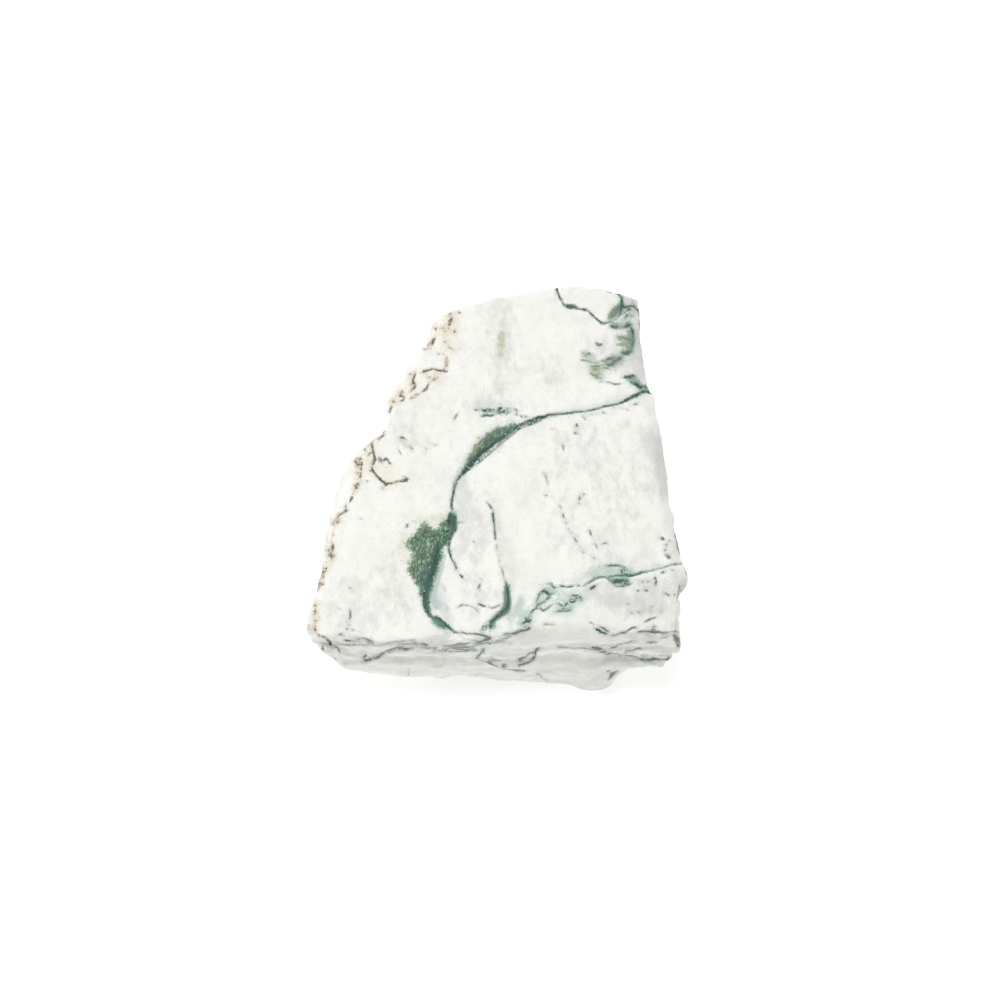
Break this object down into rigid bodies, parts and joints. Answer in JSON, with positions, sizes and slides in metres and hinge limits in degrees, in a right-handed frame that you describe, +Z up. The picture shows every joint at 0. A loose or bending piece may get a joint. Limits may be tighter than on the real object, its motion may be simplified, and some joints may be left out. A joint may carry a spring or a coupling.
{
  "type": "tree agate",
  "caption": "Rough slab of tree agate lying on a small flat spot: milky white quartz with moss-green seams, a pale broken face on top and a layered front edge.",
  "frame": {"origin": "on the surface that the stone lies on, under the middle of its box", "axes": "+Z up from the flat spot to the pale broken face, -Y towards the layered front edge, +X to the right as seen from the front"},
  "size_m": [0.0734, 0.0822, 0.026],
  "materials": {
    "quartz": "rough"
  },
  "bodies": {
    "root": {"agate": "quartz"}
  },
  "joints": []
}
